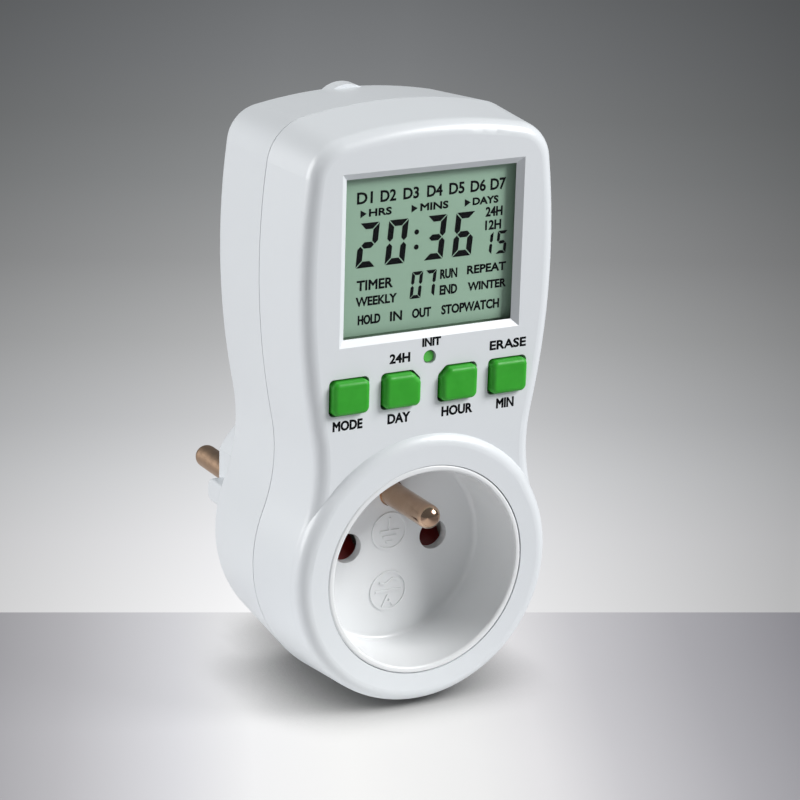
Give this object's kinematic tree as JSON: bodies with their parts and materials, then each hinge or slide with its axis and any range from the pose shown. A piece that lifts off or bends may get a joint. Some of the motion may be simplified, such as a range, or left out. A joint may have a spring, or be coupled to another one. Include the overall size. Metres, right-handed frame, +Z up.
{
  "type": "plug-in timer",
  "caption": "Waisted upright housing with a recessed display and keys above a round earthed socket; an earthed plug stands out of its back.",
  "frame": {"origin": "middle of the plug's end face, on the line of its two pins", "axes": "+X to the right seen from the front, +Y out of the plug's end face towards the wall, +Z up, towards the display"},
  "size_m": [0.0566, 0.0822, 0.1167],
  "materials": {
    "housing_plastic": "injection-moulded, satin gloss",
    "cup_plastic": "injection-moulded, fine satin",
    "insulating_plastic": "injection-moulded, unfinished",
    "nickel_plate": "nickel-plated turned brass",
    "contact_brass": "stamped strip",
    "spring_steel": "drawn wire",
    "screw_steel": "zinc-plated",
    "shutter_plastic": "injection-moulded",
    "key_silicone": "translucent moulded silicone",
    "reset_plastic": "moulded silicone",
    "mat_silicone": "moulded silicone",
    "clear_lens": "clear moulded acrylic",
    "display_cell": "polarised display cell",
    "strip_elastomer": "layered elastomer",
    "board_laminate": "solder resist on laminate",
    "black_epoxy": "moulded epoxy",
    "relay_case": "moulded case",
    "capacitor_case": "moulded case",
    "can_sleeve": "shrunk sleeve on an aluminium can",
    "varistor_coating": "dipped epoxy",
    "cell_steel": "drawn cans",
    "resistor_coating": "lacquered"
  },
  "bodies": {
    "housing": {"front_shell": "housing_plastic", "rear_shell": "housing_plastic", "socket_cup": "cup_plastic", "earth_pin": "nickel_plate", "left_plug_pin": "nickel_plate", "right_plug_pin": "nickel_plate", "plug_base": "insulating_plastic", "earth_clips": "nickel_plate", "earth_socket": "contact_brass", "live_link": "contact_brass", "switched_link": "contact_brass", "neutral_link": "contact_brass", "earth_link": "contact_brass", "shutter_cover": "insulating_plastic", "shutter_spring": "spring_steel", "switched_contact": "contact_brass", "neutral_contact": "contact_brass", "keypad_mat": "mat_silicone", "display_window": "clear_lens", "display_glass": "display_cell", "display_holder": "insulating_plastic", "contact_strips": "strip_elastomer", "control_board": "board_laminate", "control_chip": "black_epoxy", "power_board": "board_laminate", "relay": "relay_case", "dropper_capacitor": "capacitor_case", "smoothing_capacitor": "can_sleeve", "varistor": "varistor_coating", "backup_battery": "cell_steel", "rectifier_diodes": "black_epoxy", "resistors": "resistor_coating", "board_link": "black_epoxy", "housing_screws": "screw_steel", "board_screws": "screw_steel", "cup_screws": "screw_steel", "plug_base_screw": "screw_steel"},
    "set_button": {"key_set": "key_silicone"},
    "day_button": {"key_day": "key_silicone"},
    "hour_button": {"key_hour": "key_silicone"},
    "minute_button": {"key_minute": "key_silicone"},
    "reset_button": {"reset_key": "reset_plastic"},
    "guard": {"shutter": "shutter_plastic"}
  },
  "joints": [
    {"name": "set_press", "type": "slide", "parent": "housing", "child": "set_button", "axis": [0, 1, 0], "range_m": [0, 0.001], "stiffness_N_per_m": 800, "springref_m": -0.0005, "deforming": ["keypad_mat"]},
    {"name": "day_press", "type": "slide", "parent": "housing", "child": "day_button", "axis": [0, 1, 0], "range_m": [0, 0.001], "stiffness_N_per_m": 800, "springref_m": -0.0005, "deforming": ["keypad_mat"]},
    {"name": "hour_press", "type": "slide", "parent": "housing", "child": "hour_button", "axis": [0, 1, 0], "range_m": [0, 0.001], "stiffness_N_per_m": 800, "springref_m": -0.0005, "deforming": ["keypad_mat"]},
    {"name": "minute_press", "type": "slide", "parent": "housing", "child": "minute_button", "axis": [0, 1, 0], "range_m": [0, 0.001], "stiffness_N_per_m": 800, "springref_m": -0.0005, "deforming": ["keypad_mat"]},
    {"name": "reset_press", "type": "slide", "parent": "housing", "child": "reset_button", "axis": [0, 1, 0], "range_m": [0, 0.0006], "stiffness_N_per_m": 800, "springref_m": -0.0003, "deforming": ["keypad_mat"]},
    {"name": "guard_slide", "type": "slide", "parent": "housing", "child": "guard", "axis": [0, 0, -1], "range_m": [0, 0.0068], "stiffness_N_per_m": 120, "springref_m": -0.003, "deforming": ["shutter_spring"]}
  ]
}
